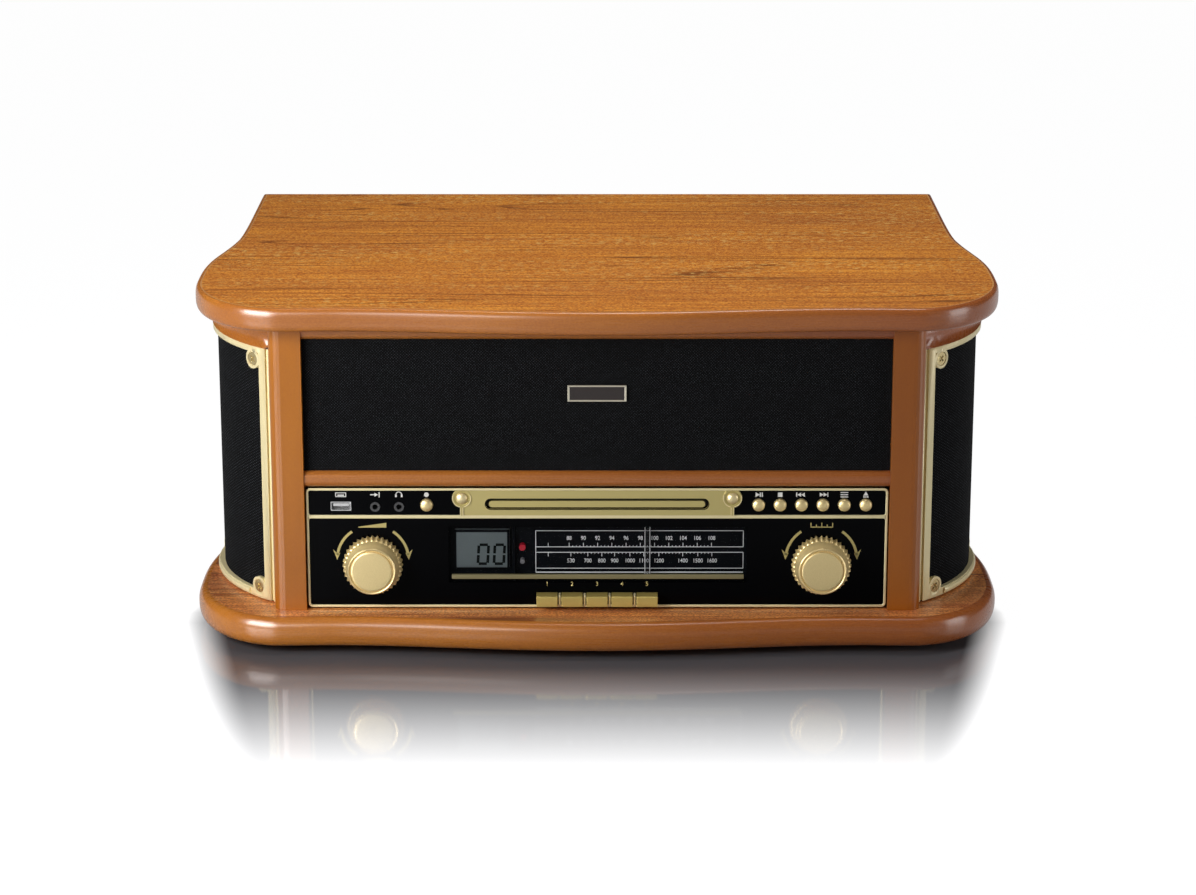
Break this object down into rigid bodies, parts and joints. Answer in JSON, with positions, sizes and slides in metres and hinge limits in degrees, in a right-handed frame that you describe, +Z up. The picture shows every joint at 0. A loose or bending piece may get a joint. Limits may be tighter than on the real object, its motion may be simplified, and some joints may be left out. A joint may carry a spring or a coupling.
{
  "type": "stereo music centre",
  "caption": "Wooden table-top music centre with a hinged serpentine lid over a record deck, cloth speaker grilles, a radio dial, a disc drawer and a tape slot.",
  "frame": {"origin": "centre of the footprint, on the surface that the feet stand on", "axes": "+X to the right seen from the front, +Y to the back, +Z up; the fascia looks along -Y"},
  "size_m": [0.529, 0.35, 0.231],
  "materials": {
    "veneer": "satin lacquered oak veneer, honey stain",
    "stained_moulding": "satin lacquered moulding, red-brown stain",
    "hardboard": "dark hardboard",
    "rubber_foot": "matt",
    "grille_cloth": "fine black twill",
    "gold_trim": "satin gold paint",
    "gold_bezel": "satin pale gold paint",
    "gold_control": "satin gold paint, brighter edges",
    "brass_screw": "polished",
    "brass_plate": "brass-plated steel, satin",
    "speaker_steel": "pressed steel",
    "cone_paper": "coated paper",
    "fascia_black": "gloss",
    "lcd_glass": "grey liquid-crystal glass",
    "dial_black": "matt",
    "window_clear": "clear acrylic",
    "lamp_red": "translucent",
    "socket_metal": "nickel plated",
    "deck_black": "fine textured",
    "motor_steel": "zinc plated",
    "mechanism_grey": "moulded",
    "board_green": "solder-masked board",
    "platter_metal": "turned, satin",
    "rubber_mat": "ribbed, matt",
    "pulley_brass": "turned",
    "arm_chrome": "polished",
    "lever_black": "satin",
    "tray_black": "satin"
  },
  "bodies": {
    "cabinet": {"base_board": "stained_moulding", "rubber_feet": "rubber_foot", "side_panel_left": "veneer", "side_panel_right": "veneer", "back_panel": "hardboard", "front_pillars": "stained_moulding", "corner_housings": "stained_moulding", "front_rails": "stained_moulding", "front_grille": "grille_cloth", "badge_plate": "gold_trim", "corner_grilles": "grille_cloth", "corner_bezels": "gold_bezel", "bezel_screws": "brass_screw", "speaker_frames": "speaker_steel", "speaker_cones": "cone_paper", "fascia_panel": "fascia_black", "fascia_trim": "gold_trim", "disc_surround": "gold_trim", "lcd_display": "lcd_glass", "dial_backplate": "dial_black", "dial_window": "window_clear", "indicator_lamps": "lamp_red", "front_sockets": "socket_metal", "turntable_deck": "deck_black", "arm_base": "deck_black", "belt_drive": "motor_steel", "disc_mechanism": "mechanism_grey", "cassette_mechanism": "deck_black", "circuit_boards": "board_green", "power_transformer": "motor_steel", "rear_sockets": "deck_black", "hinge_lower_leaves": "brass_plate"},
    "lid": {"lid_board": "veneer", "lid_hardware": "brass_plate"},
    "stay": {"stay_arm": "brass_plate"},
    "turntable": {"platter": "platter_metal", "platter_mat": "rubber_mat"},
    "motor_spindle": {"motor_pulley": "pulley_brass"},
    "arm_turret": {"arm_gimbal": "arm_chrome"},
    "pickup_arm": {"tonearm": "arm_chrome"},
    "cue_lever": {"cue_lever": "lever_black"},
    "speed_lever": {"speed_lever": "lever_black"},
    "tray": {"disc_tray": "tray_black"},
    "volume_knob": {"volume_knob": "gold_control"},
    "tuning_knob": {"tuning_knob": "gold_control"},
    "pointer": {"dial_pointer": "window_clear"},
    "tuner_key": {"tuner_key": "gold_control"},
    "disc_key": {"disc_key": "gold_control"},
    "tape_key": {"tape_key": "gold_control"},
    "phono_key": {"phono_key": "gold_control"},
    "equaliser_key": {"equaliser_key": "gold_control"},
    "record_button": {"record_button": "gold_control"},
    "play_button": {"play_button": "gold_control"},
    "stop_button": {"stop_button": "gold_control"},
    "back_button": {"back_button": "gold_control"},
    "forward_button": {"forward_button": "gold_control"},
    "program_button": {"program_button": "gold_control"},
    "eject_button": {"eject_button": "gold_control"},
    "cassette_door": {"cassette_door": "lever_black"},
    "cassette_key": {"cassette_key": "lever_black"}
  },
  "joints": [
    {"name": "lid_hinge", "type": "hinge", "parent": "cabinet", "child": "lid", "pos_m": [0, 0.1723, 0.2158], "axis": [-1, 0, 0], "range_deg": [0, 62]},
    {"name": "stay_swing", "type": "hinge", "parent": "cabinet", "child": "stay", "pos_m": [0.2213, 0.11288, 0.20745], "axis": [-1, 0, 0], "range_deg": [0, 124]},
    {"name": "platter_spin", "type": "hinge", "parent": "cabinet", "child": "turntable", "pos_m": [-0.045, 0.01525, 0.188], "axis": [0, 0, -1], "continuous": true},
    {"name": "pulley_spin", "type": "hinge", "parent": "cabinet", "child": "motor_spindle", "pos_m": [-0.12, 0.09325, 0.188], "axis": [0, 0, -1], "continuous": true},
    {"name": "arm_swing", "type": "hinge", "parent": "cabinet", "child": "arm_turret", "pos_m": [0.148, 0.1, 0.194], "axis": [0, 0, -1], "range_deg": [0, 54]},
    {"name": "cue_lift", "type": "hinge", "parent": "cabinet", "child": "cue_lever", "pos_m": [0.178, 0.073, 0.194], "axis": [-1, 0, 0], "range_deg": [0, 50]},
    {"name": "arm_lift", "type": "hinge", "parent": "arm_turret", "child": "pickup_arm", "pos_m": [0.148, 0.1, 0.209], "axis": [-1, 0, 0], "range_deg": [0, 2.5]},
    {"name": "speed_slide", "type": "slide", "parent": "cabinet", "child": "speed_lever", "axis": [0, 1, 0], "range_m": [-0.007, 0.007]},
    {"name": "tray_slide", "type": "slide", "parent": "cabinet", "child": "tray", "axis": [0, -1, 0], "range_m": [0, 0.13]},
    {"name": "volume_turn", "type": "hinge", "parent": "cabinet", "child": "volume_knob", "pos_m": [-0.1451, -0.142, 0.0552], "axis": [0, 1, 0], "range_deg": [-150, 150]},
    {"name": "tuning_turn", "type": "hinge", "parent": "cabinet", "child": "tuning_knob", "pos_m": [0.1451, -0.142, 0.0552], "axis": [0, 1, 0], "range_deg": [-1012, 840]},
    {"name": "pointer_slide", "type": "slide", "parent": "cabinet", "child": "pointer", "axis": [1, 0, 0], "range_m": [-0.053, 0.044]},
    {"name": "tuner_key_press", "type": "slide", "parent": "cabinet", "child": "tuner_key", "axis": [0, 1, 0], "range_m": [0, 0.004], "stiffness_N_per_m": 250, "springref_m": -0.001},
    {"name": "disc_key_press", "type": "slide", "parent": "cabinet", "child": "disc_key", "axis": [0, 1, 0], "range_m": [0, 0.004], "stiffness_N_per_m": 250, "springref_m": -0.001},
    {"name": "tape_key_press", "type": "slide", "parent": "cabinet", "child": "tape_key", "axis": [0, 1, 0], "range_m": [0, 0.004], "stiffness_N_per_m": 250, "springref_m": -0.001},
    {"name": "phono_key_press", "type": "slide", "parent": "cabinet", "child": "phono_key", "axis": [0, 1, 0], "range_m": [0, 0.004], "stiffness_N_per_m": 250, "springref_m": -0.001},
    {"name": "equaliser_key_press", "type": "slide", "parent": "cabinet", "child": "equaliser_key", "axis": [0, 1, 0], "range_m": [0, 0.004], "stiffness_N_per_m": 250, "springref_m": -0.001},
    {"name": "record_button_press", "type": "slide", "parent": "cabinet", "child": "record_button", "axis": [0, 1, 0], "range_m": [0, 0.001], "stiffness_N_per_m": 400, "springref_m": -0.0005},
    {"name": "play_button_press", "type": "slide", "parent": "cabinet", "child": "play_button", "axis": [0, 1, 0], "range_m": [0, 0.001], "stiffness_N_per_m": 400, "springref_m": -0.0005},
    {"name": "stop_button_press", "type": "slide", "parent": "cabinet", "child": "stop_button", "axis": [0, 1, 0], "range_m": [0, 0.001], "stiffness_N_per_m": 400, "springref_m": -0.0005},
    {"name": "back_button_press", "type": "slide", "parent": "cabinet", "child": "back_button", "axis": [0, 1, 0], "range_m": [0, 0.001], "stiffness_N_per_m": 400, "springref_m": -0.0005},
    {"name": "forward_button_press", "type": "slide", "parent": "cabinet", "child": "forward_button", "axis": [0, 1, 0], "range_m": [0, 0.001], "stiffness_N_per_m": 400, "springref_m": -0.0005},
    {"name": "program_button_press", "type": "slide", "parent": "cabinet", "child": "program_button", "axis": [0, 1, 0], "range_m": [0, 0.001], "stiffness_N_per_m": 400, "springref_m": -0.0005},
    {"name": "eject_button_press", "type": "slide", "parent": "cabinet", "child": "eject_button", "axis": [0, 1, 0], "range_m": [0, 0.001], "stiffness_N_per_m": 400, "springref_m": -0.0005},
    {"name": "cassette_door_swing", "type": "hinge", "parent": "cabinet", "child": "cassette_door", "pos_m": [0.2338, 0.1, 0.0894], "axis": [0, 1, 0], "range_deg": [0, 80], "stiffness_Nm_per_rad": 0.01, "springref_deg": -11.46},
    {"name": "cassette_key_press", "type": "slide", "parent": "cabinet", "child": "cassette_key", "axis": [-1, 0, 0], "range_m": [0, 0.004], "stiffness_N_per_m": 250, "springref_m": -0.001}
  ],
  "couplings": [
    {"joint": "stay_swing", "follows": "lid_hinge", "ratio": 2},
    {"joint": "pulley_spin", "follows": "platter_spin", "ratio": 12.5},
    {"joint": "arm_lift", "follows": "cue_lift", "ratio": 0.05},
    {"joint": "pointer_slide", "follows": "tuning_turn", "m_per_rad": 0.003}
  ]
}
